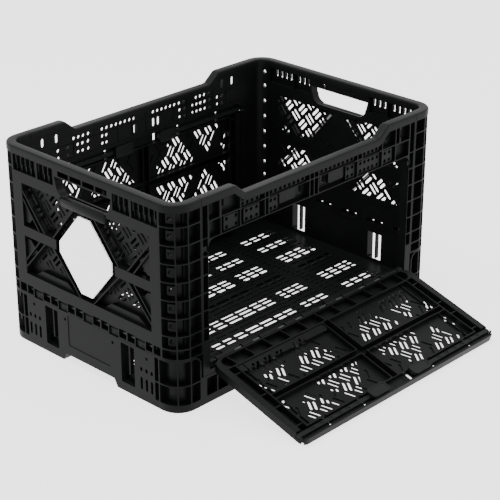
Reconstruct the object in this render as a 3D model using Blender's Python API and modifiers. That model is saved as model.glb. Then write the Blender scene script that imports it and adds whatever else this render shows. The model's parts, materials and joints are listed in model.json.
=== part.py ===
"""Collapsible storage crate with a drop-down door in each long side.

Frame: +X along the long side, +Y towards the back wall, +Z up. The origin is under the middle
of the base, on the face that stands on the ground. The front door is modelled open, lying out
towards -Y with its free edge on the ground; everything else stands erect and closed.
"""
import math

import bmesh
import bpy
from mathutils import Matrix, Vector

# driving dimensions, in metres
LENGTH = 0.600          # along X, over the end walls
WIDTH = 0.400           # along Y, over the long walls
HEIGHT = 0.340          # ground to rim
CORNER = 0.034          # plan radius of the corners
WALL = 0.015            # thickness of every wall, ribs included
SKIN = 0.004            # what is left behind the rib cells
GAP = 0.0004            # between pieces that meet
SEAM = 0.2465           # |x| where an end wall's return meets the long wall

BASE_TOP = 0.088        # top of the base skirt under the end walls
FLOOR_TOP = 0.025       # load floor
FLOOR_LOW = 0.021       # underside of the load floor
NOTCH = 0.013           # height of the hand notch under each end
SILL = 0.048            # top of the base along the long sides
SHOULDER = 0.250        # |x| where the base steps up to its corner blocks

RIM = 0.012             # height of the plain rim band
DIP = 0.018             # how far the long walls' rims dip
DIP_HALF = 0.152        # |x| where the dip's flat ends
DIP_END = 0.175         # |x| where the rim is at full height again

ROD = 0.0025            # radius of the hinge rods
ROD_HOLE = 0.0029       # radius of the holes they run in
KNUCKLE = 0.005         # outside radius of the hinge knuckles

FRONT_AXIS_Z = 0.038    # hinge of the front wall, which folds down first
BACK_AXIS_Z = 0.054     # hinge of the back wall, one wall thickness higher
FOLD_AXIS_Y = 0.172     # |y| of both
LEAVES = (-0.120, 0.120)  # x of the middles of each long wall's two hinge leaves
LEAF = 0.120            # length of a leaf along X
EAR = 0.010             # thickness of the base ears beside the leaves

END_AXIS_Z = 0.097      # hinge of the end walls
END_AXIS_X = 0.2925
END_EARS = (-0.120, -0.060, 0.0, 0.060, 0.120)
END_EAR = 0.020         # length of an ear along Y

DOOR_AXIS_Y = 0.194     # |y| of the door hinge
DOOR_AXIS_Z = 0.064
DOOR_LOW = 0.0065       # door panel's lower edge above its axis
DOOR_HIGH = 0.206       # door panel's upper edge above its axis
DOOR_HALF = 0.2315
DOOR_IN = 0.0072        # axis to the door's inner face
DOOR_OUT = 0.0050       # axis to the door's outer face
DOORWAY_HALF = 0.2325
EAR_FOOT = 0.0035       # ears' feet stop this far outside the axis, clear of the open door
DOOR_OPEN = math.radians(106.5)
DOOR_KNUCKLES = (-0.195, -0.098, 0.0, 0.098, 0.195)
DOOR_KNUCKLE = 0.040    # length along X

BOLT_Z = (0.181, 0.203)  # latch channel above the door axis
BAR_Z = (0.188, 0.196)   # sliding bar
CHANNEL = 0.0060         # depth of the channel below the inner face
BOLT_TRAVEL = 0.008
GRIP_X = (0.030, 0.070)  # thumb grip, from the door's middle

BADGE = (0.0605, 0.065)  # half width and half height of the blank badge plate
BADGE_FLATS = (0.013, 0.009)
BADGE_Z = 0.200
BADGE_THICK = 0.003

CELL_PITCH = 0.0295      # ring spacing of the corner ladders
CELL_RINGS = 7

PLASTIC = (0.030, 0.032, 0.033)
PLASTIC_DARK = (0.020, 0.021, 0.022)
BADGE_WHITE = (0.80, 0.81, 0.82)
STEEL = (0.45, 0.46, 0.47)


def clear_scene():
    for obj in list(bpy.data.objects):
        bpy.data.objects.remove(obj, do_unlink=True)


def collection(name):
    made = bpy.data.collections.new(name)
    bpy.context.scene.collection.children.link(made)
    return made


clear_scene()
CRATE = collection("collapsible_crate")
CUTTERS = collection("cutters")


def material(name, colour, roughness, metallic=0.0):
    made = bpy.data.materials.new(name)
    made.use_nodes = True
    shader = made.node_tree.nodes["Principled BSDF"]
    shader.inputs["Base Color"].default_value = (*colour, 1.0)
    shader.inputs["Roughness"].default_value = roughness
    shader.inputs["Metallic"].default_value = metallic
    return made


def add_box(bm, low, high, turn=None):
    """A box between two corners, optionally turned by a matrix about the world's origin."""
    low, high = Vector(low), Vector(high)
    size = high - low
    place = Matrix.Translation((low + high) / 2) @ Matrix.Diagonal((*size, 1))
    bmesh.ops.create_cube(bm, size=1.0, matrix=(turn @ place) if turn else place)


def add_rod(bm, axis, centre, radius, length, sides=12):
    """A cylinder along X, Y or Z."""
    turn = {
        "X": Matrix.Rotation(math.pi / 2, 4, "Y"),
        "Y": Matrix.Rotation(math.pi / 2, 4, "X"),
        "Z": Matrix.Identity(4),
    }[axis]
    bmesh.ops.create_cone(
        bm, cap_ends=True, segments=sides, radius1=radius, radius2=radius,
        depth=length, matrix=Matrix.Translation(centre) @ turn,
    )


def from_bmesh(name, bm, home):
    bmesh.ops.recalc_face_normals(bm, faces=bm.faces)
    mesh = bpy.data.meshes.new(name)
    bm.to_mesh(mesh)
    bm.free()
    obj = bpy.data.objects.new(name, mesh)
    home.objects.link(obj)
    if home is CUTTERS:
        obj.hide_render = True
        obj.display_type = "WIRE"
    return obj


def solid(name, home, boxes=(), rods=()):
    """One object from boxes (low, high[, turn]) and rods (axis, centre, radius, length[, sides])."""
    bm = bmesh.new()
    for item in boxes:
        add_box(bm, *item)
    for item in rods:
        add_rod(bm, *item)
    return from_bmesh(name, bm, home)


def prism(name, outline, low, high, plane, home):
    """An outline pulled straight from low to high. plane is the outline's two axes:
    XY is pulled along Z, XZ along Y and YZ along X."""
    curve = bpy.data.curves.new(name, "CURVE")
    curve.dimensions = "2D"
    curve.fill_mode = "BOTH"
    curve.extrude = (high - low) / 2
    spline = curve.splines.new("POLY")
    spline.points.add(len(outline) - 1)
    for point, (u, v) in zip(spline.points, outline):
        point.co = (u, v, 0, 1)
    spline.use_cyclic_u = True
    flat = bpy.data.objects.new(name + "_outline", curve)
    bpy.context.scene.collection.objects.link(flat)
    bpy.context.view_layer.update()
    mesh = bpy.data.meshes.new_from_object(flat.evaluated_get(bpy.context.evaluated_depsgraph_get()))
    bpy.data.objects.remove(flat, do_unlink=True)
    middle = (low + high) / 2
    turn = {
        "XY": Matrix(((1, 0, 0, 0), (0, 1, 0, 0), (0, 0, 1, middle), (0, 0, 0, 1))),
        "XZ": Matrix(((1, 0, 0, 0), (0, 0, 1, middle), (0, 1, 0, 0), (0, 0, 0, 1))),
        "YZ": Matrix(((0, 0, 1, middle), (1, 0, 0, 0), (0, 1, 0, 0), (0, 0, 0, 1))),
    }[plane]
    bm = bmesh.new()
    bm.from_mesh(mesh)
    bpy.data.meshes.remove(mesh)
    bmesh.ops.transform(bm, matrix=turn, verts=bm.verts)
    bmesh.ops.remove_doubles(bm, verts=bm.verts, dist=1e-6)
    return from_bmesh(name, bm, home)


def modify(obj, tool, operation):
    step = obj.modifiers.new(operation.lower(), "BOOLEAN")
    step.operation = operation
    step.solver = "EXACT"
    step.object = tool
    tool.parent = obj  # a tool goes where its piece goes
    return obj


def cut(obj, tool):
    return modify(obj, tool, "DIFFERENCE")


def join(obj, tool):
    return modify(obj, tool, "UNION")


def rounded_edges(obj, width, segments=2, angle=40):
    step = obj.modifiers.new("bevel", "BEVEL")
    step.width = width
    step.segments = segments
    step.limit_method = "ANGLE"
    step.angle_limit = math.radians(angle)


def arc(centre, radius, start, end, steps=6):
    """Points on an arc, angles in degrees."""
    return [
        (centre[0] + radius * math.cos(math.radians(start + (end - start) * i / steps)),
         centre[1] + radius * math.sin(math.radians(start + (end - start) * i / steps)))
        for i in range(steps + 1)
    ]


def rounded_box_outline(half_u, half_v, radius):
    u, v = half_u - radius, half_v - radius
    return (arc((u, v), radius, 0, 90) + arc((-u, v), radius, 90, 180)
            + arc((-u, -v), radius, 180, 270) + arc((u, -v), radius, 270, 360))


def corner_turn(sx, sy):
    """Places a cell cutter, modelled along +X at the origin, on a corner's diagonal."""
    centre = (sx * (LENGTH / 2 - CORNER), sy * (WIDTH / 2 - CORNER), 0)
    return Matrix.Translation(centre) @ Matrix.Rotation(math.atan2(sy, sx), 4, "Z")


def ladder_cells(sx, sy, levels, height):
    """Rib cells of one corner: one on its diagonal and one on the return beside it, per level."""
    cells = []
    for low in levels:
        cells.append(((CORNER - WALL + SKIN, -0.010, low), (CORNER + 0.004, 0.010, low + height),
                      corner_turn(sx, sy)))
        x = sorted((sx * 0.2500, sx * 0.2640))
        y = sorted((sy * (WIDTH / 2 - WALL + SKIN), sy * (WIDTH / 2 + 0.002)))
        cells.append(((x[0], y[0], low), (x[1], y[1], low + height)))
    return cells


# ---------------------------------------------------------------- base

def base_tray():
    half_x, half_y = LENGTH / 2, WIDTH / 2
    body = prism("base_tray", rounded_box_outline(half_x, half_y, CORNER), 0, BASE_TOP, "XY", CRATE)
    cut(body, prism("tray_cavity", rounded_box_outline(half_x - WALL, half_y - WALL, CORNER - WALL),
                    FLOOR_TOP, BASE_TOP + 0.01, "XY", CUTTERS))

    # the long sides step down to the sill between the rounded shoulders of the corner blocks
    shoulder = 0.015
    step = ([(-SHOULDER, SILL)] + arc((-SHOULDER - shoulder, BASE_TOP - shoulder), shoulder, 0, 90)
            + [(-SHOULDER - shoulder, BASE_TOP + 0.01), (SHOULDER + shoulder, BASE_TOP + 0.01)]
            + arc((SHOULDER + shoulder, BASE_TOP - shoulder), shoulder, 90, 180) + [(SHOULDER, SILL)])
    for name, sy in (("front", -1), ("back", 1)):
        low, high = sorted((sy * (half_y - WALL - 0.004), sy * (half_y + 0.004)))
        cut(body, prism(f"sill_step_{name}", step, low, high, "XZ", CUTTERS))

    boxes = []
    # underside: two shallow bays leave a rim to stand on and a skid down the middle
    for sy in (-1, 1):
        y = sorted((sy * 0.020, sy * 0.172))
        boxes.append(((-0.272, y[0], -0.005), (0.272, y[1], FLOOR_LOW)))
    # two tall windows in each end skirt
    for sx in (-1, 1):
        x = sorted((sx * (half_x - WALL - 0.004), sx * (half_x + 0.004)))
        for sy in (-1, 1):
            y = sorted((sy * 0.075, sy * 0.105))
            boxes.append(((x[0], y[0], 0.030), (x[1], y[1], 0.080)))
    # rib cells along the long sides and round the corners
    cells = 10
    pitch = 0.0475
    for sy in (-1, 1):
        y = sorted((sy * (half_y - WALL + SKIN), sy * (half_y + 0.002)))
        for i in range(cells):
            x = (i - (cells - 1) / 2) * pitch
            boxes.append(((x - 0.0215, y[0], 0.015), (x + 0.0215, y[1], 0.042)))
    for sx in (-1, 1):
        for sy in (-1, 1):
            boxes += ladder_cells(sx, sy, (0.013, 0.050), 0.032)
    cut(body, solid("tray_cells", CUTTERS, boxes))

    # the end notches slope up from the feet to the underside
    notch = [(-0.065, -0.005), (-0.065, 0.0), (-0.057, NOTCH), (0.057, NOTCH),
             (0.065, 0.0), (0.065, -0.005)]
    for name, sx in (("left", -1), ("right", 1)):
        low, high = sorted((sx * 0.262, sx * (half_x + 0.004)))
        cut(body, prism(f"foot_notch_{name}", notch, low, high, "YZ", CUTTERS))

    # ears that carry the hinge rods of the long walls and of the end walls
    ears, holes = [], []
    for sy, axis_z in ((-1, FRONT_AXIS_Z), (1, BACK_AXIS_Z)):
        y = sy * FOLD_AXIS_Y
        for middle in LEAVES:
            for side in (-1, 1):
                x = middle + side * (LEAF / 2 + GAP + EAR / 2)
                ears.append(((x - EAR / 2, y - 0.0055, FLOOR_TOP - 0.004),
                             (x + EAR / 2, y + 0.0055, axis_z + 0.0055)))
        holes.append(("X", (0, y, axis_z), ROD_HOLE, 0.410))
    for sx in (-1, 1):
        x = sx * END_AXIS_X
        for y in END_EARS:
            ears.append(((x - 0.0062, y - END_EAR / 2, BASE_TOP - 0.004),
                         (x + 0.0062, y + END_EAR / 2, END_AXIS_Z + 0.0055)))
        holes.append(("Y", (x, 0, END_AXIS_Z), ROD_HOLE, 0.302))
    join(body, solid("hinge_ears", CUTTERS, ears))
    cut(body, solid("rod_holes", CUTTERS, rods=holes))
    return body


# ---------------------------------------------------------------- end walls

def end_wall(name, sx):
    half_x, half_y = LENGTH / 2, WIDTH / 2
    cx, cy = half_x - CORNER, half_y - CORNER
    inner = CORNER - WALL
    half = ([(SEAM, half_y)] + arc((cx, cy), CORNER, 90, 0) + arc((cx, -cy), CORNER, 0, -90)
            + [(SEAM, -half_y), (SEAM, -half_y + WALL)] + arc((cx, -cy), inner, -90, 0)
            + arc((cx, cy), inner, 0, 90) + [(SEAM, half_y - WALL)])
    outline = [(sx * x, y) for x, y in half]
    wall = prism(name, outline, BASE_TOP + GAP, HEIGHT, "XY", CRATE)

    face = sx * (half_x + 0.002)
    back = sx * (half_x - WALL + SKIN)
    deep = sorted((back, face))

    # handle opening, and the seat of the grip below it
    opening = ([(-0.065, 0.316), (-0.060, 0.296)] + arc((-0.045, 0.3015), 0.0155, 180, 270)
               + arc((0.045, 0.3015), 0.0155, 270, 360) + [(0.060, 0.296), (0.065, 0.316)])
    through = sorted((sx * (half_x - WALL - 0.004), sx * (half_x + 0.004)))
    cut(wall, prism(f"{name}_handle", opening, *through, "YZ", CUTTERS))
    seat = sorted((sx * (half_x - 0.012), sx * (half_x + 0.004)))
    cut(wall, solid(f"{name}_grip_seat", CUTTERS,
                    [((seat[0], -0.0525, 0.2705), (seat[1], 0.0525, 0.290))]))

    # seat of the badge
    cut(wall, prism(f"{name}_badge_seat", badge_outline(0.002),
                    *sorted((sx * (half_x - 0.0037), sx * (half_x + 0.004))), "YZ", CUTTERS))

    # triangles of the diagonal lattice round the badge
    for i, (side, lift) in enumerate(((-1, 1), (1, 1), (-1, -1), (1, -1))):
        # posts at |y| 0.147, bars at the middle, top and bottom
        near = BADGE_Z + (0.010 if lift > 0 else -0.009)
        far = 0.266 if lift > 0 else 0.138
        outer = [(side * 0.146, near), (side * 0.106, near), (side * 0.146, far - lift * 0.010)]
        inner_cell = [(side * 0.096, near), (side * 0.141, far), (side * 0.058, far),
                      (side * 0.086, near + lift * 0.012)]
        for j, shape in enumerate((outer, inner_cell)):
            cut(wall, prism(f"{name}_cell_{i}_{j}", shape, *deep, "YZ", CUTTERS))

    boxes = []
    # short ribs under the rim
    for i in range(14):
        y = (i - 6.5) * 0.0225
        if abs(y) > 0.070:
            boxes.append(((deep[0], y - 0.0090, 0.300), (deep[1], y + 0.0090, HEIGHT - RIM)))
    # corner ladders
    levels = [0.109 + CELL_PITCH * i + 0.002 for i in range(CELL_RINGS)]
    for sy in (-1, 1):
        boxes += ladder_cells(sx, sy, levels, CELL_PITCH - 0.004)
    # notches for the base's hinge ears
    x = sorted((sx * (half_x - WALL - 0.004), sx * (half_x + 0.004)))
    for y in END_EARS:
        boxes.append(((x[0], y - END_EAR / 2 - GAP, BASE_TOP - 0.004),
                      (x[1], y + END_EAR / 2 + GAP, END_AXIS_Z + 0.007)))
    cut(wall, solid(f"{name}_cells", CUTTERS, boxes))
    cut(wall, solid(f"{name}_rod_hole", CUTTERS,
                    rods=[("Y", (sx * END_AXIS_X, 0, END_AXIS_Z), ROD_HOLE, 0.302)]))
    return wall


def badge_outline(grow):
    half_y, half_z = BADGE[0] + grow, BADGE[1] + grow
    flat_y, flat_z = BADGE_FLATS[0] + grow * 0.4, BADGE_FLATS[1] + grow * 0.4
    quarter = [(half_y, flat_z), (flat_y, half_z)]
    return [(sy * y, BADGE_Z + sz * z)
            for sy, sz, turn in ((1, 1, 1), (-1, 1, -1), (-1, -1, 1), (1, -1, -1))
            for y, z in quarter[::turn]]


def badge(name, sx):
    outer = sx * (LENGTH / 2 - 0.0003)
    plate = prism(name, badge_outline(0), *sorted((outer, outer - sx * BADGE_THICK)), "YZ", CRATE)
    rounded_edges(plate, 0.0006, 1)
    return plate


def handle_grip(name, sx):
    x = sorted((sx * (LENGTH / 2 - 0.0003), sx * (LENGTH / 2 - 0.0117)))
    grip = solid(name, CRATE, [((x[0], -0.052, 0.271), (x[1], 0.052, 0.2856))])
    rounded_edges(grip, 0.004, 3)
    return grip


# ---------------------------------------------------------------- long walls

def rim_line(z_drop=0.0):
    """Outline of a long wall's top edge, from +X to -X."""
    high, low = HEIGHT - z_drop, HEIGHT - DIP - z_drop
    half = SEAM - GAP
    return [(half, high), (DIP_END, high), (DIP_HALF, low),
            (-DIP_HALF, low), (-DIP_END, high), (-half, high)]


def long_wall(name, sy, axis_z):
    half = SEAM - GAP
    low = SILL + 0.0006
    outer, inner = sy * WIDTH / 2, sy * (WIDTH / 2 - WALL)
    wall = prism(name, [(-half, low), (half, low)] + rim_line(), *sorted((outer, inner)), "XZ", CRATE)

    # doorway, with rounded upper corners
    sill, head, round_by = DOOR_AXIS_Z - 0.008, DOOR_AXIS_Z + DOOR_HIGH + 0.001, 0.012
    doorway = ([(-DOORWAY_HALF, sill), (DOORWAY_HALF, sill)]
               + arc((DOORWAY_HALF - round_by, head - round_by), round_by, 0, 90)
               + arc((-DOORWAY_HALF + round_by, head - round_by), round_by, 90, 180))
    through = sorted((sy * (WIDTH / 2 + 0.004), sy * (WIDTH / 2 - WALL - 0.004)))
    cut(wall, prism(f"{name}_doorway", doorway, *through, "XZ", CUTTERS))

    face, back = sorted((sy * (WIDTH / 2 + 0.002), sy * (WIDTH / 2 - WALL + SKIN)))
    boxes = []
    # two rows of rib cells over the doorway
    row = (head + 0.003, 0.295)
    for i in range(10):
        x = (i - 4.5) * 0.045
        boxes.append(((x - 0.0205, face, row[0]), (x + 0.0205, back, row[1])))
        top = HEIGHT - RIM if abs(x) > DIP_END + 0.020 else HEIGHT - DIP - RIM
        if not DIP_HALF - 0.020 < abs(x) < DIP_END:
            boxes.append(((x - 0.0205, face, row[1] + 0.003), (x + 0.0205, back, top)))
    # sockets for the door's bolts in the jambs
    bolt = [DOOR_AXIS_Z + z for z in BAR_Z]
    for side in (-1, 1):
        x = sorted((side * (DOORWAY_HALF - 0.002), side * (DOORWAY_HALF + BOLT_TRAVEL + 0.0015)))
        y = sorted((sy * (DOOR_AXIS_Y - DOOR_IN + 0.0010), sy * (DOOR_AXIS_Y - DOOR_IN + CHANNEL + 0.0006)))
        boxes.append(((x[0], y[0], bolt[0] - 0.0008), (x[1], y[1], bolt[1] + 0.0008)))
    cut(wall, solid(f"{name}_cells", CUTTERS, boxes))

    # leaves reach inwards to the fold axis
    parts, barrels = [], []
    y_axis = sy * FOLD_AXIS_Y
    for middle in LEAVES:
        span = (middle - LEAF / 2 + GAP, middle + LEAF / 2 - GAP)
        shelf = sorted((sy * (WIDTH / 2 - WALL + 0.003), sy * (FOLD_AXIS_Y - KNUCKLE)))
        arm = sorted((sy * (FOLD_AXIS_Y + KNUCKLE), sy * (FOLD_AXIS_Y - KNUCKLE)))
        top = low + 0.0075
        parts.append(((span[0], shelf[0], low), (span[1], shelf[1], top)))
        if axis_z < low:
            parts.append(((span[0], arm[0], axis_z), (span[1], arm[1], top - 0.001)))
        barrels.append(("X", (middle, y_axis, axis_z), KNUCKLE, LEAF - 2 * GAP))
    # ears on the bottom rail for the door's hinge rod
    for x0, x1 in door_gaps():
        y = sorted((sy * (DOOR_AXIS_Y - KNUCKLE), sy * (DOOR_AXIS_Y + EAR_FOOT)))
        parts.append(((x0, y[0], low + 0.002), (x1, y[1], DOOR_AXIS_Z)))
        barrels.append(("X", ((x0 + x1) / 2, sy * DOOR_AXIS_Y, DOOR_AXIS_Z), KNUCKLE, x1 - x0))
    for i, item in enumerate(parts):
        join(wall, solid(f"{name}_leaf_{i}", CUTTERS, [item]))
    for i, item in enumerate(barrels):
        join(wall, solid(f"{name}_barrel_{i}", CUTTERS, rods=[item]))
    cut(wall, solid(f"{name}_rod_holes", CUTTERS, rods=[
        ("X", (0, y_axis, axis_z), ROD_HOLE, 0.420),
        ("X", (0, sy * DOOR_AXIS_Y, DOOR_AXIS_Z), ROD_HOLE, 0.459),
    ]))
    return wall


def door_gaps():
    """Spans along X that the door's knuckles leave for the wall's ears."""
    spans = []
    for left, right in zip(DOOR_KNUCKLES, DOOR_KNUCKLES[1:]):
        middle = (left + right) / 2
        spans.append((middle - 0.012, middle + 0.012))
    edge = DOORWAY_HALF - 0.004
    return [(-edge, -edge + 0.010)] + spans + [(edge - 0.010, edge)]


# ---------------------------------------------------------------- doors

def door(name, sy, opened):
    """Modelled closed about its hinge axis at the origin, then swung outwards."""
    inner, outer = -sy * DOOR_IN, sy * DOOR_OUT
    face = sorted((inner, outer))
    corner = 0.011
    outline = ([(-DOOR_HALF, DOOR_LOW), (DOOR_HALF, DOOR_LOW)]
               + arc((DOOR_HALF - corner, DOOR_HIGH - corner), corner, 0, 90)
               + arc((-DOOR_HALF + corner, DOOR_HIGH - corner), corner, 90, 180))
    panel = prism(name, outline, *face, "XZ", CRATE)

    boxes = []
    # rib cells open to the outside, behind the two rows of slotted panels
    back = sorted((sy * (DOOR_OUT + 0.002), inner + sy * SKIN))
    for i in range(8):
        x = (i - 3.5) * 0.0560
        for low, high in ((0.041, 0.110), (0.118, 0.172)):
            boxes.append(((x - 0.0255, back[0], low), (x + 0.0255, back[1], high)))
    # row of cells by the hinge, open to the inside
    near = sorted((-sy * (DOOR_IN + 0.002), sy * (DOOR_OUT - SKIN)))
    for i in range(10):
        x = (i - 4.5) * 0.0450
        boxes.append(((x - 0.0195, near[0], 0.012), (x + 0.0195, near[1], 0.030)))
    cut(panel, solid(f"{name}_cells", CUTTERS, boxes))

    # channels of the two sliding latches, bridged by straps
    boxes = []
    deep = sorted((inner - sy * 0.002, inner + sy * CHANNEL))
    bar = sorted((inner + sy * 0.0015, inner + sy * CHANNEL))
    for side in (-1, 1):
        x = sorted((side * 0.024, side * 0.086))
        boxes.append(((x[0], deep[0], BOLT_Z[0]), (x[1], deep[1], BOLT_Z[1])))
        for start, end in ((0.0925, 0.1500), (0.1560, 0.2165)):
            x = sorted((side * start, side * end))
            boxes.append(((x[0], deep[0], BAR_Z[0] - 0.0005), (x[1], deep[1], BAR_Z[1] + 0.0005)))
    cut(panel, solid(f"{name}_channels", CUTTERS, boxes))
    tunnels = []
    for side in (-1, 1):
        x = sorted((side * 0.080, side * (DOOR_HALF + 0.004)))
        tunnels.append(((x[0], bar[0], BAR_Z[0] - 0.0005), (x[1], bar[1], BAR_Z[1] + 0.0005)))
    cut(panel, solid(f"{name}_tunnels", CUTTERS, tunnels))

    # knuckles
    for i, x in enumerate(DOOR_KNUCKLES):
        span = (x - DOOR_KNUCKLE / 2, x + DOOR_KNUCKLE / 2)
        join(panel, solid(f"{name}_knuckle_{i}", CUTTERS,
                          rods=[("X", (x, 0, 0), KNUCKLE - 0.0003, DOOR_KNUCKLE)]))
        join(panel, solid(f"{name}_neck_{i}", CUTTERS,
                          [((span[0] + 0.0005, -0.0042, 0.0010), (span[1] - 0.0005, 0.0042, DOOR_LOW + 0.002))]))
    cut(panel, solid(f"{name}_rod_hole", CUTTERS, rods=[("X", (0, 0, 0), ROD_HOLE, 0.480)]))

    place_on_hinge(panel, sy, opened)
    return panel


def place_on_hinge(obj, sy, opened):
    obj.location = (0, sy * DOOR_AXIS_Y, DOOR_AXIS_Z)
    obj.rotation_euler.x = -sy * (DOOR_OPEN if opened else 0.0)


def latch_slider(name, side, sy, opened):
    """Thumb grip, bar and bolt in one sliding piece, drawn back clear of the jamb."""
    inner = -sy * DOOR_IN
    play = 0.0004
    bar_y = sorted((inner + sy * (0.0015 + play), inner + sy * (CHANNEL - play)))
    grip_y = sorted((inner - sy * 0.0030, inner + sy * (CHANNEL - play)))
    x = sorted((side * (GRIP_X[1] - 0.010), side * (DOOR_HALF - 0.0005)))
    bar = solid(name, CRATE, [((x[0], bar_y[0], BAR_Z[0] + play), (x[1], bar_y[1], BAR_Z[1] - play))])
    x = sorted((side * GRIP_X[0], side * GRIP_X[1]))
    grip = solid(f"{name}_grip", CUTTERS,
                 [((x[0], grip_y[0], BOLT_Z[0] + 0.001), (x[1], grip_y[1], BOLT_Z[1] - 0.001))])
    rounded_edges(grip, 0.0022, 2)
    join(bar, grip)
    place_on_hinge(bar, sy, opened)
    return bar


def hinge_rod(name, axis, centre, length):
    rod = solid(name, CRATE, rods=[(axis, centre, ROD, length, 12)])
    rod.data.shade_smooth()
    rod.data.set_sharp_from_angle(angle=math.radians(50))
    return rod


# ---------------------------------------------------------------- assembly

def build():
    plastic = material("moulded_plastic", PLASTIC, 0.55)
    dark = material("latch_plastic", PLASTIC_DARK, 0.45)
    white = material("badge_plastic", BADGE_WHITE, 0.35)
    steel = material("rod_steel", STEEL, 0.35, 1.0)

    made = [(base_tray(), plastic)]
    for side, sx in (("left", -1), ("right", 1)):
        made.append((end_wall(f"end_wall_{side}", sx), plastic))
        made.append((badge(f"badge_{side}", sx), white))
        made.append((handle_grip(f"handle_grip_{side}", sx), plastic))
        made.append((hinge_rod(f"end_hinge_rod_{side}", "Y", (sx * END_AXIS_X, 0, END_AXIS_Z), 0.300), steel))

    for side, sy, axis_z, opened in (("front", -1, FRONT_AXIS_Z, True), ("back", 1, BACK_AXIS_Z, False)):
        made.append((long_wall(f"long_wall_{side}", sy, axis_z), plastic))
        made.append((door(f"door_{side}", sy, opened), plastic))
        for hand, way in (("left", -1), ("right", 1)):
            made.append((latch_slider(f"latch_{side}_{hand}", way, sy, opened), dark))
        made.append((hinge_rod(f"wall_hinge_rod_{side}", "X", (0, sy * FOLD_AXIS_Y, axis_z), 0.386), steel))
        made.append((hinge_rod(f"door_hinge_rod_{side}", "X",
                               (0, sy * DOOR_AXIS_Y, DOOR_AXIS_Z), 0.456), steel))
    for obj, finish in made:
        obj.data.materials.clear()
        obj.data.materials.append(finish)


build()
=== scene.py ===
"""Looks of the collapsible storage crate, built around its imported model.

Every piece is drawn in millimetres, flat, and then laid where the frame says. +X runs along the
long side, +Y towards the back wall and +Z up.
"""
import json
import math

import bmesh
import bpy
import numpy as np
from mathutils import Matrix, Vector
from mathutils.geometry import delaunay_2d_cdt


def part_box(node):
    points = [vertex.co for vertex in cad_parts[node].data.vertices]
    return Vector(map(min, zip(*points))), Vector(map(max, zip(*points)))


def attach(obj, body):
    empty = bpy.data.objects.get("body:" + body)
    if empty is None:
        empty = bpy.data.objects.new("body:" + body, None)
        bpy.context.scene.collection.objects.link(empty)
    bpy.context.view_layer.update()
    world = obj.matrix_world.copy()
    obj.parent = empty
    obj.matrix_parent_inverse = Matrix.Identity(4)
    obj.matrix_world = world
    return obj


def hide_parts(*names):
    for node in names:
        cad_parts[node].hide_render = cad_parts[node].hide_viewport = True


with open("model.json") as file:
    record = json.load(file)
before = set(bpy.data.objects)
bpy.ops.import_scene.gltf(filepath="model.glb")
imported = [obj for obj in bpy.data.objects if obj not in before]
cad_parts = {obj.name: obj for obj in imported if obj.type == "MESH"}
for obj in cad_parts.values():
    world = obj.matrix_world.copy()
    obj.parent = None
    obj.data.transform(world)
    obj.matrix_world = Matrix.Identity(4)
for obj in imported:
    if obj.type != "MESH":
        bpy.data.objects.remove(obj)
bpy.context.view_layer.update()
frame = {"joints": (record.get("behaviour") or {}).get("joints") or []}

MM = 0.001

# ---------------------------------------------------------------- sizes, from the frame


def extent(node, axis):
    low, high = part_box(node)
    return low[axis] / MM, high[axis] / MM


def joint(name):
    return next(j for j in frame["joints"] if j["name"] == name)


def axis_of(name):
    """|y| and z of a fold's axis."""
    _, y, z = joint(name)["pos_m"]
    return abs(y) / MM, z / MM


HALF_L = extent("base_tray", 0)[1]
HALF_W = extent("base_tray", 1)[1]
HEIGHT = extent("end_wall_left", 2)[1]
SEAM = -extent("end_wall_left", 0)[1]      # |x| where the end walls' returns stop
WALL_LOW = extent("end_wall_left", 2)[0]
LONG_LOW = extent("long_wall_back", 2)[0]
DOOR_AXIS = axis_of("front_door_fold")
DOOR_HALF = extent("door_back", 0)[1]
DOOR_TOP = extent("door_back", 2)[1] - DOOR_AXIS[1]    # free edge above the hinge
DOOR_OPEN = math.radians(joint("front_door_fold")["range_deg"][1])
DOOR_FACE = extent("door_back", 1)[0]      # |y| of a closed door's inner face
DOOR_THICK = extent("door_back", 1)[1] - DOOR_FACE

WALL = 15.0          # thickness over the ribs
SKIN = 2.5           # thickness of the slotted skins
CORNER = 34.0        # plan radius of the corners
RIM = 12.0           # height of the rim band
BASE_TOP = 88.0      # top of the base under the end walls
SILL = 48.0          # top of the base along the long sides
FLOOR = 25.0         # load floor
NOTCH = 13.0         # height of the hand notch under each end
END_HINGES = (-120, -60, 0, 60, 120)       # y of the ears that carry the end walls
END_AXIS = (292.5, 97.0)                   # |x| and z of the end walls' rods
FOLD_Y = axis_of("back_wall_fold")[0]
STRAIGHT = HALF_W - CORNER                 # half length of an end wall's flat part
BEND = CORNER * math.pi / 2                # length of a corner along its outside
RETURN_END = STRAIGHT + BEND + (HALF_L - CORNER - SEAM)
DIP = 18.0                                 # how far the long walls' rims dip
DIP_HALF, DIP_END = 152.0, 175.0           # |x| where the dip's flat ends, and where the rim is high again

# ---------------------------------------------------------------- flat shapes


def rect(u0, v0, u1, v1):
    return [(u0, v0), (u1, v0), (u1, v1), (u0, v1)]


def arc(cu, cv, radius, start, end, steps=4):
    turn = [math.radians(start + (end - start) * i / steps) for i in range(steps + 1)]
    return [(cu + radius * math.cos(a), cv + radius * math.sin(a)) for a in turn]


def rounded(u0, v0, u1, v1, radius, steps=3):
    r = radius
    return (arc(u1 - r, v1 - r, r, 0, 90, steps) + arc(u0 + r, v1 - r, r, 90, 180, steps)
            + arc(u0 + r, v0 + r, r, 180, 270, steps) + arc(u1 - r, v0 + r, r, 270, 360, steps))


def circle(cu, cv, radius, steps=12):
    return arc(cu, cv, radius, 0, 360 - 360 / steps, steps - 1)


def bar(p, q, width):
    """A straight rib from p to q."""
    p, q = Vector(p), Vector(q)
    along = q - p
    side = Vector((-along.y, along.x)).normalized() * width / 2
    return [tuple(corner) for corner in (p - side, q - side, q + side, p + side)]


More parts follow.
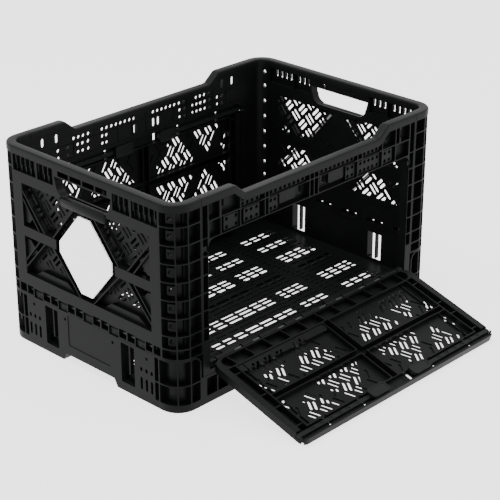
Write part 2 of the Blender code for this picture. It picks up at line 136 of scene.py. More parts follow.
def slot(cu, cv, length, width, degrees):
    """A slot with round ends."""
    reach, r = (length - width) / 2, width / 2
    flat = arc(reach, 0, r, -90, 90, 3) + arc(-reach, 0, r, 90, 270, 3)
    c, s = math.cos(math.radians(degrees)), math.sin(math.radians(degrees))
    return [(cu + u * c - v * s, cv + u * s + v * c) for u, v in flat]


def flip(shapes):
    return [[(-u, v) for u, v in shape] for shape in shapes]


def both(shapes):
    return shapes + flip(shapes)


def inside(points, shape):
    """Which points lie in a closed outline."""
    points, shape = np.asarray(points, float), np.asarray(shape, float)
    u, v = points[:, 0], points[:, 1]
    within = np.zeros(len(points), bool)
    for (u1, v1), (u2, v2) in zip(shape, np.roll(shape, -1, 0)):
        if v1 != v2:
            within ^= ((v1 > v) != (v2 > v)) & (u < (u2 - u1) * (v - v1) / (v2 - v1) + u1)
    return within


def cut(shape, region):
    """The part of a shape inside a region with no inward corners."""
    (u0, v0), (u1, v1), (u2, v2) = region[:3]
    if (u1 - u0) * (v2 - v0) < (u2 - u0) * (v1 - v0):
        region = region[::-1]
    for a, b in zip(region, region[1:] + region[:1]):
        depth = [(b[0] - a[0]) * (v - a[1]) - (b[1] - a[1]) * (u - a[0]) for u, v in shape]
        kept = []
        for i, (p, d) in enumerate(zip(shape, depth)):
            q, e = shape[i - 1], depth[i - 1]
            if d * e < 0:
                kept.append((q[0] + (p[0] - q[0]) * e / (e - d), q[1] + (p[1] - q[1]) * e / (e - d)))
            if d >= 0:
                kept.append(p)
        shape = kept
    return shape


SMALLEST_SLOT = 14.0                # mm2; what is cut smaller than this is left out


def area(shape):
    return abs(sum(u * shape[i - 1][1] - shape[i - 1][0] * v for i, (u, v) in enumerate(shape))) / 2


def weave(region, start, step, turn, length=20.0, width=4.8, pitch=8.4):
    """Pairs of slots that cross like basket work, cut off at the region's edges. The pair at the
    start lies at an angle of turn, and the next rows lean the other way."""
    reach = [[round((edge(p[k] for p in region) - start[k]) / step[k]) + more
              for edge, more in ((min, -1), (max, 2))] for k in (0, 1)]
    slots = []
    for a in range(*reach[0]):
        for b in range(*reach[1]):
            if (a + b) % 2 == 0:
                lean = 180 - turn if b % 2 else turn
                side = math.radians(lean + 90)
                for shift in (-pitch / 2, pitch / 2):
                    u = start[0] + a * step[0] + shift * math.cos(side)
                    v = start[1] + b * step[1] + shift * math.sin(side)
                    slots.append(cut(slot(u, v, length, width, lean), region))
    return [s for s in slots if len(s) > 2 and area(s) > SMALLEST_SLOT]


# ---------------------------------------------------------------- moulded panels


class Relief:
    """A moulded panel. Each shape laid on it changes how far its front and back faces stand,
    or opens or closes it; later shapes win."""

    def __init__(self, outline, front, back):
        self.steps = []
        self.lay([outline], front, back, True)

    def lay(self, shapes, front=None, back=None, closed=None):
        self.steps += [(shape, front, back, closed) for shape in shapes]

    def open(self, shapes):
        self.lay(shapes, closed=False)

    def triangles(self, splits):
        points, edges = [], []
        for shape, *_ in self.steps:
            start = len(points)
            points += [Vector((round(u, 3), round(v, 3))) for u, v in shape]
            edges += [(start + i, start + (i + 1) % len(shape)) for i in range(len(shape))]
        low = min(p.y for p in points) - 1
        high = max(p.y for p in points) + 1
        for u in splits:
            edges.append((len(points), len(points) + 1))
            points += [Vector((u, low)), Vector((u, high))]
        found = delaunay_2d_cdt(points, edges, [], 0, 1e-4, False)
        flat = np.array([tuple(p) for p in found[0]])
        faces = np.array([f for f in found[2] if len(f) == 3])
        a, b, c = (flat[faces[:, i]] for i in range(3))
        doubled = (b[:, 0] - a[:, 0]) * (c[:, 1] - a[:, 1]) - (b[:, 1] - a[:, 1]) * (c[:, 0] - a[:, 0])
        faces[doubled < 0] = faces[doubled < 0][:, ::-1]
        return flat, faces[np.abs(doubled) > 1e-6]

    def levels(self, flat, faces):
        middles = flat[faces].mean(1)
        front, back = np.zeros(len(faces)), np.zeros(len(faces))
        closed = np.zeros(len(faces), bool)
        for shape, new_front, new_back, new_closed in self.steps:
            low, high = np.min(shape, 0), np.max(shape, 0)
            near = np.flatnonzero(((middles > low) & (middles < high)).all(1))
            hit = near[inside(middles[near], shape)] if len(near) else near
            if new_front is not None:
                front[hit] = new_front
            if new_back is not None:
                back[hit] = new_back
            if new_closed is not None:
                closed[hit] = new_closed
        return front, back, closed

    def mesh(self, place, splits=()):
        """Vertices in world millimetres, and faces."""
        flat, faces = self.triangles(splits)
        front, back, closed = self.levels(flat, faces)
        beside = {}
        for n, (i, j, k) in enumerate(faces):
            beside[i, j] = beside[j, k] = beside[k, i] = n
        index, points, out = {}, [], []

        def at(vertex, level):
            key = (vertex, round(level, 3))
            if key not in index:
                index[key] = len(points)
                points.append((*flat[vertex], level))
            return index[key]

        for n in np.flatnonzero(closed):
            i, j, k = faces[n]
            out.append((at(i, front[n]), at(j, front[n]), at(k, front[n])))
            out.append((at(k, back[n]), at(j, back[n]), at(i, back[n])))
            for p, q in ((i, j), (j, k), (k, i)):
                other = beside.get((q, p))
                walls = [(back[n], front[n])]
                if other is not None and closed[other]:
                    walls = [(back[n], min(front[n], back[other])), (max(back[n], front[other]), front[n])]
                for low, high in walls:
                    if high - low > 1e-4:
                        out.append((at(p, low), at(q, low), at(q, high), at(p, high)))
        points = np.array(points)
        here = points[len(points) // 2]
        step = np.array([here, here + (.01, 0, 0), here + (0, .01, 0), here + (0, 0, .01)])
        moved = place(*step.T)
        if np.linalg.det(moved[1:] - moved[0]) < 0:
            out = [face[::-1] for face in out]
        return place(*points.T), out


class Piece:
    """Gathers meshes into one object."""

    def __init__(self):
        self.points, self.faces = [], []

    def add(self, points, faces, matrix=None):
        start = len(self.points)
        for p in np.asarray(points, float):
            self.points.append(tuple(matrix @ Vector(p)) if matrix is not None else tuple(p))
        self.faces += [tuple(start + i for i in face) for face in faces]

    def add_bmesh(self, bm, matrix=None):
        bmesh.ops.recalc_face_normals(bm, faces=bm.faces)
        bm.verts.index_update()
        self.add([v.co[:] for v in bm.verts], [[v.index for v in f.verts] for f in bm.faces], matrix)
        bm.free()

    def block(self, low, high, soft=0.6):
        """A box with softened edges."""
        low, high = Vector(low), Vector(high)
        low, high = Vector(map(min, low, high)), Vector(map(max, low, high))
        bm = bmesh.new()
        place = Matrix.Translation((low + high) / 2) @ Matrix.Diagonal((*(high - low), 1))
        bmesh.ops.create_cube(bm, size=1.0, matrix=place)
        if soft:
            bmesh.ops.bevel(bm, geom=bm.edges[:], offset=soft, segments=2, profile=0.5, affect="EDGES")
        self.add_bmesh(bm)

    def barrel(self, axis, centre, radius, length, steps=24, soft=0.4):
        """A turned piece along X or Y, with softened ends."""
        turn = Matrix.Rotation(math.pi / 2, 4, "Y") if axis == "X" else Matrix.Rotation(-math.pi / 2, 4, "X")
        bm = bmesh.new()
        half = length / 2
        end = radius - soft
        outline = [(end, -half), (radius, -half + soft), (radius, half - soft), (end, half)]
        rings = []
        for i in range(steps):
            a = math.tau * i / steps
            rings.append([bm.verts.new((r * math.cos(a), r * math.sin(a), h)) for r, h in outline])
        for one, two in zip(rings, rings[1:] + rings[:1]):
            for k in range(len(outline) - 1):
                bm.faces.new((one[k], two[k], two[k + 1], one[k + 1]))
        bm.faces.new([ring[0] for ring in rings])
        bm.faces.new([ring[-1] for ring in rings])
        self.add_bmesh(bm, Matrix.Translation(centre) @ turn)

    def sweep(self, path, profile, place):
        """A profile of (inset, level) points carried along a path, with mitred corners."""
        path = [Vector(p) for p in path]
        points = []
        for i, p in enumerate(path):
            before = (p - path[i - 1]).normalized() if i else None
            after = (path[i + 1] - p).normalized() if i + 1 < len(path) else None
            one, two = before or after, after or before
            normal = Vector((-(one + two).y, (one + two).x)).normalized()
            stretch = 1 / max(0.3, normal.dot(Vector((-one.y, one.x))))
            for inset, level in profile:
                q = p + normal * inset * stretch
                points.append((q.x, q.y, level))
        size, last = len(profile), (len(path) - 1) * len(profile)
        faces = []
        for ring in range(0, last, size):
            for k in range(size):
                after = (k + 1) % size
                faces.append([ring + k, ring + after, ring + size + after, ring + size + k])
        faces.append(list(range(size))[::-1])
        faces.append([last + k for k in range(size)])
        bm = bmesh.new()
        made = [bm.verts.new(p) for p in place(*np.array(points).T)]
        for face in faces:
            bm.faces.new([made[i] for i in face])
        self.add_bmesh(bm)

    def make(self, name, body, material, node=None, soft=0.0):
        mesh = bpy.data.meshes.new(name)
        mesh.from_pydata([(x * MM, y * MM, z * MM) for x, y, z in self.points], [], self.faces)
        mesh.validate()
        mesh.shade_smooth()
        mesh.set_sharp_from_angle(angle=math.radians(35))
        mesh.materials.append(material)
        obj = bpy.data.objects.new(name, mesh)
        bpy.context.scene.collection.objects.link(obj)
        if soft:
            bevel = obj.modifiers.new("soft_edges", "BEVEL")
            bevel.width, bevel.segments, bevel.limit_method = soft * MM, 2, "ANGLE"
            bevel.angle_limit = math.radians(50)
        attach(obj, body)
        if node:
            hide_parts(node)
        return obj


# ---------------------------------------------------------------- materials


class Value:
    """A socket that can be written into sums: an expression adds its Math nodes."""

    def __init__(self, shader, socket):
        self.shader, self.socket = shader, socket

    def maths(self, operation, *values):
        return self.shader.node("ShaderNodeMath", {"operation": operation}, dict(enumerate(values)))[0]

    def __add__(self, other):
        return self.maths("ADD", self, other)

    def __sub__(self, other):
        return self.maths("SUBTRACT", self, other)

    def __mul__(self, other):
        return self.maths("MULTIPLY", self, other)

    __radd__, __rmul__ = __add__, __mul__


class Nodes:
    """Adds nodes to the tree of a material or a world."""

    def __init__(self, tree):
        self.tree = tree

    def node(self, kind, settings=None, values=None):
        made = self.tree.nodes.new(kind)
        for key, value in (settings or {}).items():
            if key == "stops":
                self.set_stops(made.color_ramp, value)
            else:
                setattr(made, key, value)
        for key, value in (values or {}).items():
            self.feed(made.inputs[key], value)
        return Outputs(self, made)

    def set_stops(self, ramp, stops):
        while len(ramp.elements) < len(stops):
            ramp.elements.new(1.0)
        for element, (position, colour) in zip(ramp.elements, stops):
            element.position = position
            element.color = (*colour, 1.0)

    def feed(self, socket, value):
        if isinstance(value, Value):
            self.tree.links.new(value.socket, socket)
        else:
            socket.default_value = value

    def ramp(self, factor, stops):
        return self.node("ShaderNodeValToRGB", {"stops": stops}, {"Fac": factor})["Color"]


class Shader(Nodes):
    """A material under construction."""

    def __init__(self, name):
        self.material = bpy.data.materials.new(name)
        self.material.use_nodes = True
        super().__init__(self.material.node_tree)
        self.surface = self.tree.nodes["Principled BSDF"]
        self.place = self.node("ShaderNodeTexCoord")["Object"]

    def set(self, **values):
        for key, value in values.items():
            self.feed(self.surface.inputs[key.replace("_", " ")], value)

    def noise(self, scale, detail=3.0, roughness=0.5):
        return self.node("ShaderNodeTexNoise", None, {
            "Vector": self.place, "Scale": scale, "Detail": detail, "Roughness": roughness})["Fac"]

    def bump(self, height, strength, distance, below=None):
        values = {"Height": height, "Strength": strength, "Distance": distance}
        if below is not None:
            values["Normal"] = below
        return self.node("ShaderNodeBump", None, values)["Normal"]


class Outputs:
    def __init__(self, shader, made):
        self.shader, self.made = shader, made

    def __getitem__(self, key):
        return Value(self.shader, self.made.outputs[key])


def moulded_plastic(name, dark, light, roughness):
    """Charcoal polypropylene: a fine spark-eroded grain, faint flow marks and uneven sheen."""
    shader = Shader(name)
    cloud = shader.noise(9.0, 4.0, 0.6)
    grain = shader.noise(1400.0, 2.0, 0.6)
    shader.set(Base_Color=shader.ramp(cloud, [(0.30, dark), (0.72, light)]), Specular_IOR_Level=0.065,
               Roughness=roughness + (cloud - 0.5) * 0.16 + (grain - 0.5) * 0.10,
               Normal=shader.bump(grain, 0.35, 0.00006, shader.bump(cloud, 0.25, 0.0006)))
    return shader.material


def badge_plastic():
    shader = Shader("badge_plastic")
    cloud = shader.noise(14.0, 3.0)
    grain = shader.noise(900.0, 2.0)
    shader.set(Base_Color=shader.ramp(cloud, [(0.3, (0.92, 0.92, 0.91)), (0.7, (0.96, 0.96, 0.95))]),
               Roughness=0.28 + (grain - 0.5) * 0.12,
               Normal=shader.bump(grain, 0.2, 0.00004))
    return shader.material


def rod_steel():
    """Blackened drawn rod, with fine lines along it."""
    shader = Shader("rod_steel")
    lines = shader.noise(260.0, 3.0)
    shader.set(Base_Color=shader.ramp(lines, [(0.3, (0.030, 0.031, 0.032)), (0.7, (0.050, 0.051, 0.052))]),
               Roughness=0.30 + lines * 0.16, Metallic=1.0, Normal=shader.bump(lines, 0.2, 0.00004))
    return shader.material


PLASTIC = moulded_plastic("crate_plastic", (0.0020, 0.0022, 0.0022), (0.0032, 0.0034, 0.0035), 0.42)
LATCH = moulded_plastic("latch_plastic", (0.0040, 0.0044, 0.0045), (0.0060, 0.0064, 0.0065), 0.36)
WHITE = badge_plastic()
STEEL = rod_steel()

# ---------------------------------------------------------------- laying panels in place


def on_end(sx):
    """Places an end wall drawn flat: u runs round the corners, t is 0 on the outside."""
    def place(u, v, t):
        u, v, t = (np.asarray(a, float) for a in (u, v, t))
        side, along = np.sign(u), np.abs(u)
        turn = np.clip((along - STRAIGHT) / CORNER, 0, math.pi / 2)
        past = np.maximum(along - STRAIGHT - BEND, 0)
        radius = CORNER + t
        bent = along > STRAIGHT
        x = np.where(bent, HALF_L - CORNER + radius * np.cos(turn) - past, HALF_L + t)
        y = np.where(bent, side * (STRAIGHT + radius * np.sin(turn)), u)
        return np.stack([sx * x, y, v], 1)
    return place


BEND_SPLITS = [s * (STRAIGHT + BEND * i / 8) for i in range(9) for s in (-1, 1)]


def on_side(sy):
    return lambda u, v, t: np.stack([u, sy * (HALF_W + t), v], 1)


def on_floor(u, v, t):
    return np.stack([u, v, FLOOR + t], 1)


def on_door(sy, opened):
    """Places a door drawn flat: v is the height above its hinge, t is 0 on the inner face."""
    angle = DOOR_OPEN if opened else 0.0
    c, s = math.cos(angle), math.sin(angle)
    axis_y, axis_z = DOOR_AXIS

    def place(u, v, t):
        out = DOOR_FACE - axis_y - np.asarray(t, float)
        return np.stack([u, sy * (axis_y + out * c + v * s), axis_z + v * c - out * s], 1)
    return place


# ---------------------------------------------------------------- end walls


BAND_LOW = 299.0                    # the rib band under the rim
# heights of the rungs of the corner ladders
LADDER = [107.0] + [305.0 - 29.4 * k for k in range(6, -1, -1)] + [HEIGHT - RIM]
# from one side to the other: cells of the row over the base, and of the ladders
ROW_CELLS = [(12.5, 28.4), (31.6, 47.6), (72.4, 88.4), (91.6, 107.6), (132.5, 146.5), (149.5, 164.5)]
LADDER_COLUMNS = [(168.0, 191.6), (193.8, 212.3), (214.5, RETURN_END - 2.0)]
DEEP = -WALL + SKIN
BADGE_HALF = (60.5, 65.0)           # half width and half height
BADGE_FLAT = (13.0, 9.0)            # half lengths of its straight tops and sides
BADGE_Z = 200.0


def octagon(grow):
    hu, hv = BADGE_HALF[0] + grow, BADGE_HALF[1] + grow
    fu, fv = BADGE_FLAT[0] + grow * 0.4, BADGE_FLAT[1] + grow * 0.4
    quarter = [(hu, fv), (fu, hv)]
    return [(su * u, BADGE_Z + sv * v) for su, sv, order in ((1, 1, 1), (-1, 1, -1), (-1, -1, 1), (1, -1, -1))
            for u, v in quarter[::order]]


def ladder(panel, levels, columns, rung=2.0):
    """Open rib cells round a corner, the tall ones with a small boss that has a hole."""
    for low, high in zip(levels, levels[1:]):
        for left, right in columns:
            panel.lay(both([rounded(left, low + rung / 2, right, high - rung / 2, 1.5)]), DEEP)
        if high - low > 20:
            middle = (low + high) / 2
            panel.lay(both([rounded(176.0, middle - 7.5, 191.6, middle + 7.5, 1.5)]), -6.0)
            panel.open(both([circle(182.5, middle, 4.1)]))
        left, right = columns[1]
        panel.lay(both([rect(right - 4.5, low + rung / 2, right, high - rung / 2)]), -8.0)


def quadrant(panel, lift):
    """Half of the lattice beside the badge: lift is 1 above the middle bar and -1 below it.
    Returns its slots."""
    near = 209.0 if lift > 0 else 192.0
    far = 282.0 if lift > 0 else 126.0
    panel.lay([rect(-146, min(near, far), 146, max(near, far))], DEEP)

    def at(u, height):
        return u, near + lift * height

    reach = abs(far - near)
    field = rect(10, near + 4, 144, far - 3) if lift > 0 else rect(10, far + 20, 144, near - 3)
    slots = both(weave(field, (68.0, near + lift * 43), (16.5, 14.0), 47.0))
    panel.open(slots)

    # flat gusset in the outer corner, and the ribs that cross the slots
    gusset = [at(146, 6), at(146, reach * 0.62), at(120, reach * 0.34), at(136, 6)]
    panel.lay(both([gusset]), -4.0, -WALL, True)
    if lift < 0:
        # a ledge along the foot of the cell
        ledge = [at(132, reach), at(112, reach - 12), at(52, reach - 12), at(34, reach)]
        panel.lay(both([ledge]), -5.5)
    ribs = [bar(at(147, reach * 0.84), at(95, -1), 2.2), bar(at(147, reach * 0.66), at(108, -1), 2.2),
            bar(at(77, -1), at(14, reach + 1), 2.2)]
    panel.lay(both(ribs), -0.4, -WALL, True)
    return slots


def end_wall(side, sx):
    panel = Relief(rect(-RETURN_END, WALL_LOW, RETURN_END, HEIGHT - RIM + 0.5), 0, -WALL)
    rim_low = HEIGHT - RIM

    # rib band under the rim, with a row of tall slots through the skin
    for left, right, first, count in ((68.0, 105.5, 69.4, 4), (109.0, 164.0, 112.4, 5)):
        panel.lay(both([rect(left, BAND_LOW + 1, right, rim_low - 1)]), -6.5, -9.0)
        for i in range(count):
            u = first + 11.3 * i
            panel.lay(both([rect(u - 1, 312, u + 1, rim_low - 1)]), -1.5)
            panel.lay(both([rect(u - 1, BAND_LOW + 1, u + 1, 312)]), -3.5)
            if i + 1 < count:
                panel.open(both([slot(u + 5.65, 318.5, 15, 5.2, 90)]))
    panel.lay(both([rect(1.5, 318.5, 28, rim_low - 1), rect(31, 318.5, 56, rim_low - 1)]), DEEP)
    panel.open(both([circle(34, 323, 3.0)]))

    panel.lay([octagon(9.0)], 0)
    slots = quadrant(panel, 1) + quadrant(panel, -1)
    panel.lay([octagon(7.5)], DEEP, -WALL, True)
    panel.lay(slots, back=-WALL + 1.2)          # where ribs cover them, slots stay as marks inside
    panel.lay([octagon(-3.0)], -3.6)

    # corner ladders, and the row of cells over the base
    ladder(panel, LADDER, LADDER_COLUMNS)
    row = (WALL_LOW + 2.5, 105.5)
    for left, right in ROW_CELLS:
        panel.lay(both([rect(left, row[0], right, row[1])]), -8.5, -11.0)
        panel.open([circle(u + 5, 100, 3.6) for u in (left, -right)])
    for left, right in LADDER_COLUMNS:
        panel.lay(both([rounded(left, row[0], right, row[1], 1.5)]), DEEP)
    panel.lay([rect(y - 10.4, WALL_LOW - 1, y + 10.4, 104) for y in END_HINGES], -WALL + 0.8)

    # inner face: two shallow panels and a step above the base
    for low, high in ((148, 200), (222, 279)):
        panel.lay([rounded(-150, low, 150, high, 3)], back=-WALL + 0.9)
    panel.lay([rect(-STRAIGHT, WALL_LOW - 1, STRAIGHT, 99)], back=-WALL + 0.6)

    opening = ([(-65, 316), (-60, 296)] + arc(-45, 301.5, 15.5, 180, 270)
               + arc(45, 301.5, 15.5, 270, 360) + [(60, 296), (65, 316)])
    panel.lay([[(u * 1.05, v + (1.5 if v > 310 else -0.5)) for u, v in opening]], 0, -WALL, True)
    panel.open([opening])
    panel.lay([rect(-52.5, 270.5, 52.5, 286.1)], -12.0)

    piece = Piece()
    piece.add(*panel.mesh(on_end(sx), BEND_SPLITS))
    piece.make(f"end_wall_{side}_shell", "base", PLASTIC, f"end_wall_{side}")

    rim = Piece()
    sweep = [(SEAM + 0.2, -HALF_W)] + arc(HALF_L - CORNER, -STRAIGHT, CORNER, -90, 0, 8)
    sweep += arc(HALF_L - CORNER, STRAIGHT, CORNER, 0, 90, 8) + [(SEAM + 0.2, HALF_W)]
    rim.sweep(sweep, rim_profile(HEIGHT), lambda u, v, t: np.stack([sx * u, v, t], 1))
    rim.make(f"end_wall_{side}_rim", "base", PLASTIC)


def rim_profile(top):
    """Section of the rim: (inset from the outside, height)."""
    out, deep, low, r = -0.8, WALL + 0.3, top - RIM, 2.6
    return (arc(deep - r, top - r, r, 0, 90, 4) + arc(out + r, top - r, r, 90, 180, 4)
            + [(out, low + 0.8), (out + 0.8, low), (deep - 0.5, low), (deep, low + 0.5)])


# ---------------------------------------------------------------- badges, grips and rods


def badge(side, sx):
    plate = Relief(octagon(0), -0.3, -3.3)
    piece = Piece()
    piece.add(*plate.mesh(on_end(sx)))
    piece.make(f"badge_{side}_plate", "base", WHITE, f"badge_{side}", soft=0.6)


def grip(side, sx):
    piece = Piece()
    piece.block((sx * (HALF_L - 11.7), -52.3, 269.5), (sx * (HALF_L + 2.5), 52.3, 286), 5.5)
    piece.make(f"handle_grip_{side}_bar", "base", PLASTIC, f"handle_grip_{side}")


def rod(name, body, axis, centre, length):
    piece = Piece()
    piece.barrel(axis, centre, 2.5, length, steps=20)
    piece.make(f"{name}_pin", body, STEEL, name)


# ---------------------------------------------------------------- base tray

BASE_SIDE_END = 250.0
BASE_U = STRAIGHT + BEND + (HALF_L - CORNER - BASE_SIDE_END)


def base_end(piece, sx):
    arch = arc(BASE_U - 15, BASE_TOP - 15, 15, 0, 90, 6)
    panel = Relief([(-BASE_U, 0), (BASE_U, 0)] + arch + [(-u, v) for u, v in arch[::-1]], 0, -WALL)
    # corner: two rows of rib cells, each with a small shelf, ending in an arch
    for low, high in ((12.5, 43.5), (45.5, 85.5)):
        for left, right in ((150.5, 158.5), (161.0, 191.6), (193.8, 213.5)):
            panel.lay(both([rounded(left, low, right, high, 1.5)]), DEEP)
        shelf = high - 14
        panel.lay(both([rounded(178, shelf, 191.6, high - 1, 1), rect(193.8, shelf, 201, high - 1)]), -5.0)
    panel.lay(both([rect(215.5, 12.5, BASE_U - 2.5, 43.5)]), DEEP)
    panel.lay(both([[(215.5, 45.5), (BASE_U - 2.5, 45.5)] + arc(BASE_U - 15, BASE_TOP - 15, 12.5, 0, 90, 5)
                    + [(215.5, BASE_TOP - 2.5)]]), DEEP)
    # slots and windows of the flat part
    for u in (120.5, 132.0, 143.5):
        panel.lay(both([slot(u, 29, 22, 5, 90), slot(u, 53.5, 8, 5, 90)]), -9.0)
    panel.lay(both([rounded(75, 15, 105, 83, 2)]), -3.0)
    panel.lay(both([rounded(77, 17, 103, 30, 1)]), DEEP)
    panel.open(both([rect(75, 30, 105, 80)]))
    panel.lay(both([rect(88.5, 30, 91.5, 80)]), -4.0, -11.0, True)
    panel.lay([rounded(-50, 30, 50, 84, 3)], -0.8)
    panel.lay(both([circle(133, 75, 2.6), circle(56, 75, 2.6)]), -2.0)
    panel.open([[(-65, -1), (65, -1), (57, NOTCH), (-57, NOTCH)]])
    piece.add(*panel.mesh(on_end(sx), BEND_SPLITS))


def base_side(piece, sy):
    reach = BASE_SIDE_END + 0.2
    panel = Relief(rect(-reach, 0, reach, SILL), 0, -WALL)
    for left in range(-240, 240, 24):
        panel.lay([rounded(left + 1.2, 13, left + 22.8, 43, 1)], DEEP)
    piece.add(*panel.mesh(on_side(sy)))


# columns of floor slots: x of the middle, and length
FLOOR_SLOTS = ((-258, 12), (-236, 19), (-213, 19), (-190, 19), (-130, 20), (-105, 20), (-78, 22), (-47, 30),
               (-14, 30), (15, 20), (38, 22), (78, 15), (98, 19), (119, 19), (185, 19), (208, 19), (231, 19),
               (250, 12))
FLOOR_ROWS = (5.5, 37.5, 48, 58.5, 95, 105.5, 137, 147.5)      # on both sides of their middle
FLOOR_MIDDLE = -15


def base_floor(piece):
    half_l, half_w = HALF_L - WALL + 0.3, HALF_W - WALL + 0.3
    panel = Relief(rounded(-half_l, -half_w, half_l, half_w, 19, 6), 0, -1.6)
    for y in (FLOOR_MIDDLE + step * s for step in FLOOR_ROWS for s in (1, -1)):
        panel.open([slot(x, y, length, 6.2, 0) for x, length in FLOOR_SLOTS])
    # shallow mouldings between the groups of slots
    for y in (FLOOR_MIDDLE + step * s for step in (26.5, 76.5, 121) for s in (1, -1)):
        for x, length in FLOOR_SLOTS:
            panel.lay([slot(x, y + shift, length, 4.0, 0) for shift in (-6, 6)], -1.2)
    for x in (-160, 58, 152):
        for y in range(-165, 170, 11):
            panel.lay([slot(x - 4, y, 9, 3, 0), slot(x + 9, y, 9, 3, 0)], -1.2)
    piece.add(*panel.mesh(on_floor))


def base_tray():
    piece = Piece()
    for s in (-1, 1):
        base_end(piece, s)
        base_side(piece, s)
    base_floor(piece)
    for s in (-1, 1):
        # feet under the floor
        piece.block((s * 272, -166, NOTCH + 0.2), (s * 285.2, 166, 24.5), 0)
        piece.block((-270, s * 172, 0.2), (270, s * 185.2, 24.5), 0)
        for low, high in ((70, 74), (166, 162)):
            for side in (-1, 1):
                piece.block((s * 272, side * low, 0.2), (s * 285.2, side * high, NOTCH + 0.4), 0)
        # ears for the end walls' rods
        end_x, end_z = END_AXIS
        for y in END_HINGES:
            piece.barrel("Y", (s * end_x, y, end_z), 5.4, 19.6)
            piece.block((s * (end_x - 5.2), y - 9.8, BASE_TOP - 4), (s * (end_x + 5.2), y + 9.8, end_z), 0.5)
        # ears for the long walls' rods
        axis_z = axis_of("front_wall_fold" if s < 0 else "back_wall_fold")[1]
        for x in (54.5, 185.5):
            for side in (-1, 1):
                piece.block((side * x - 4.9, s * (FOLD_Y - 5.3), FLOOR - 0.2),
                            (side * x + 4.9, s * (FOLD_Y + 5.3), axis_z), 0.5)
                piece.barrel("X", (side * x, s * FOLD_Y, axis_z), 5.3, 9.8)
    piece.block((-272, -19, 0.2), (272, 19, 21.2), 0.5)
    piece.make("base_tray_moulding", "base", PLASTIC, "base_tray")


# ---------------------------------------------------------------- long walls

DOORWAY = (232.5, 56.0, 271.0)             # half width, sill and head
DOOR_EARS = ((-228.5, -218.5), (-158.5, -134.5), (-61, -37), (37, 61), (134.5, 158.5), (218.5, 228.5))
UPPER_DOTS = (-158, -148, -138, -127, -97, -87, -76, -66, -56, -46, -36, -26,
              18, 28, 38, 48, 58, 68, 79, 89, 120, 130, 140, 150)
LOWER_DOTS = (-192, -172, -150, -140, -128, -97, -88, 80, 91, 111, 121, 131, 141, 152, 172, 183)
UPPER_PADS = ((-163, -121), (-103, -20), (13, 95), (115, 156))
LOWER_PADS = ((-198, -166), (-156, -122), (-103, -82), (75, 97), (106, 158), (166, 190))
BAND_POSTS = (-206, -165, -112, -104, -12, -2, 8, 101, 112, 162, 196)


def dip_line(inset):
    """The long wall's top edge, from right to left, lowered by inset."""
    half = [(SEAM - 0.4, HEIGHT), (DIP_END + 3, HEIGHT), (DIP_END - 2, HEIGHT - 1.4),
            (DIP_HALF + 3, HEIGHT - DIP + 1.6), (DIP_HALF - 2, HEIGHT - DIP)]
    line = half + [(-u, v) for u, v in half[::-1]]
    return [(u, v - inset) for u, v in line]


